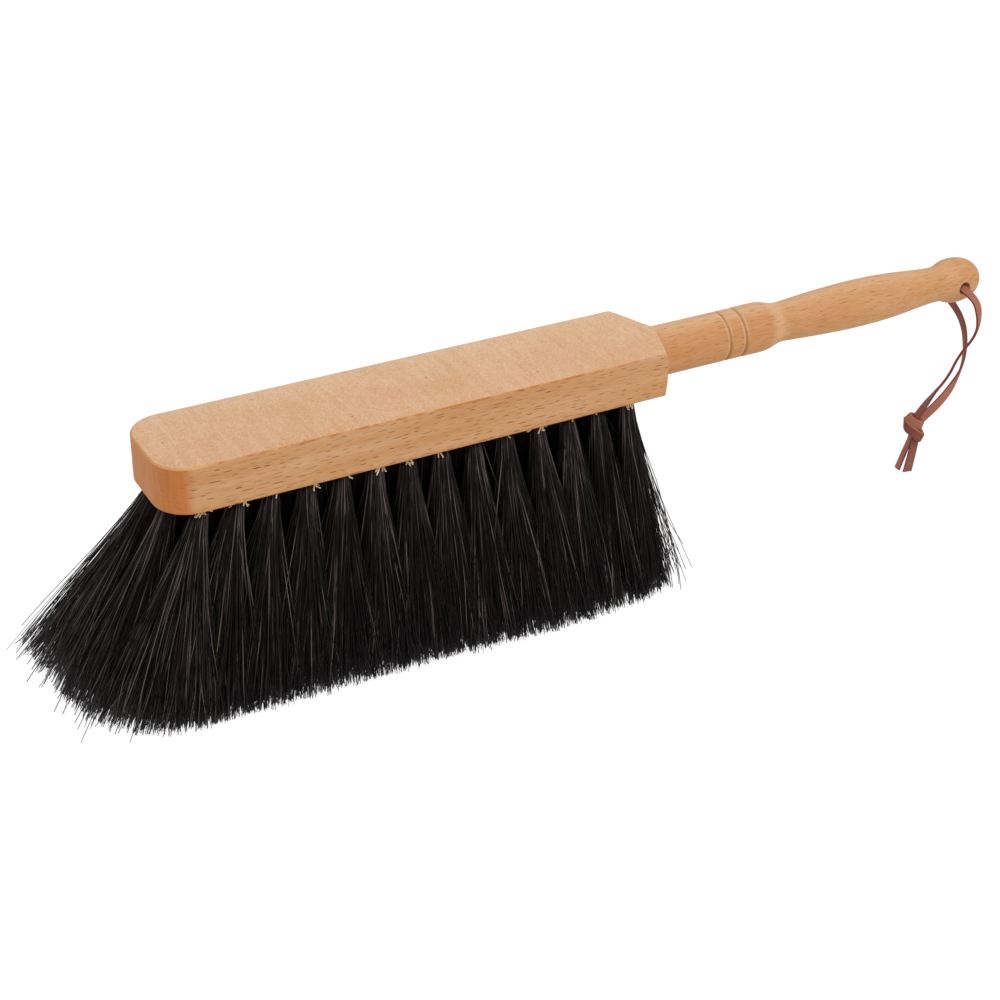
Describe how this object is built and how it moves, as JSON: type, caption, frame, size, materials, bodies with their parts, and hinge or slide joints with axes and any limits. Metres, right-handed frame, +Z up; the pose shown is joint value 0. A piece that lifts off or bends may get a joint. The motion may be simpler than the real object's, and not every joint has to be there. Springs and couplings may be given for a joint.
{
  "type": "hand broom",
  "caption": "Hand broom with a beech block and turned handle from one blank, fanned black horsehair tufts and a knotted leather lace that swings in the knob.",
  "frame": {"origin": "under the middle of the broom without its lace, on the plane of the hair tips it stands on", "axes": "+X along the broom from the block's free end to the handle's end, +Z up from the tips to the block's top face, +Y to the left when looking along +X"},
  "size_m": [0.4966, 0.0914, 0.1132],
  "materials": {
    "beech": "smooth sanded beech under a thin oil, dark short flecks along the grain",
    "horsehair": "black horsehair, slightly glossy, a few brown hairs",
    "staple_wire": "drawn steel wire",
    "leather": "soft red-brown leather, matt with cut edges"
  },
  "bodies": {
    "broom": {"beech_body": "beech", "staples": "staple_wire", "tuft_near_outer_01": "horsehair", "tuft_near_outer_02": "horsehair", "tuft_near_outer_03": "horsehair", "tuft_near_outer_04": "horsehair", "tuft_near_outer_05": "horsehair", "tuft_near_outer_06": "horsehair", "tuft_near_outer_07": "horsehair", "tuft_near_outer_08": "horsehair", "tuft_near_outer_09": "horsehair", "tuft_near_outer_10": "horsehair", "tuft_near_outer_11": "horsehair", "tuft_near_outer_12": "horsehair", "tuft_near_outer_13": "horsehair", "tuft_near_outer_14": "horsehair", "tuft_near_inner_01": "horsehair", "tuft_near_inner_02": "horsehair", "tuft_near_inner_03": "horsehair", "tuft_near_inner_04": "horsehair", "tuft_near_inner_05": "horsehair", "tuft_near_inner_06": "horsehair", "tuft_near_inner_07": "horsehair", "tuft_near_inner_08": "horsehair", "tuft_near_inner_09": "horsehair", "tuft_near_inner_10": "horsehair", "tuft_near_inner_11": "horsehair", "tuft_near_inner_12": "horsehair", "tuft_near_inner_13": "horsehair", "tuft_near_inner_14": "horsehair", "tuft_far_inner_01": "horsehair", "tuft_far_inner_02": "horsehair", "tuft_far_inner_03": "horsehair", "tuft_far_inner_04": "horsehair", "tuft_far_inner_05": "horsehair", "tuft_far_inner_06": "horsehair", "tuft_far_inner_07": "horsehair", "tuft_far_inner_08": "horsehair", "tuft_far_inner_09": "horsehair", "tuft_far_inner_10": "horsehair", "tuft_far_inner_11": "horsehair", "tuft_far_inner_12": "horsehair", "tuft_far_inner_13": "horsehair", "tuft_far_inner_14": "horsehair", "tuft_far_outer_01": "horsehair", "tuft_far_outer_02": "horsehair", "tuft_far_outer_03": "horsehair", "tuft_far_outer_04": "horsehair", "tuft_far_outer_05": "horsehair", "tuft_far_outer_06": "horsehair", "tuft_far_outer_07": "horsehair", "tuft_far_outer_08": "horsehair", "tuft_far_outer_09": "horsehair", "tuft_far_outer_10": "horsehair", "tuft_far_outer_11": "horsehair", "tuft_far_outer_12": "horsehair", "tuft_far_outer_13": "horsehair", "tuft_far_outer_14": "horsehair"},
    "lace": {"lace_loop": "leather", "lace_knot": "leather"}
  },
  "joints": [
    {"name": "lace_swing", "type": "hinge", "parent": "broom", "child": "lace", "pos_m": [0.22921, 0, 0.1005], "axis": [0, 1, 0], "range_deg": [-210, 60]}
  ]
}
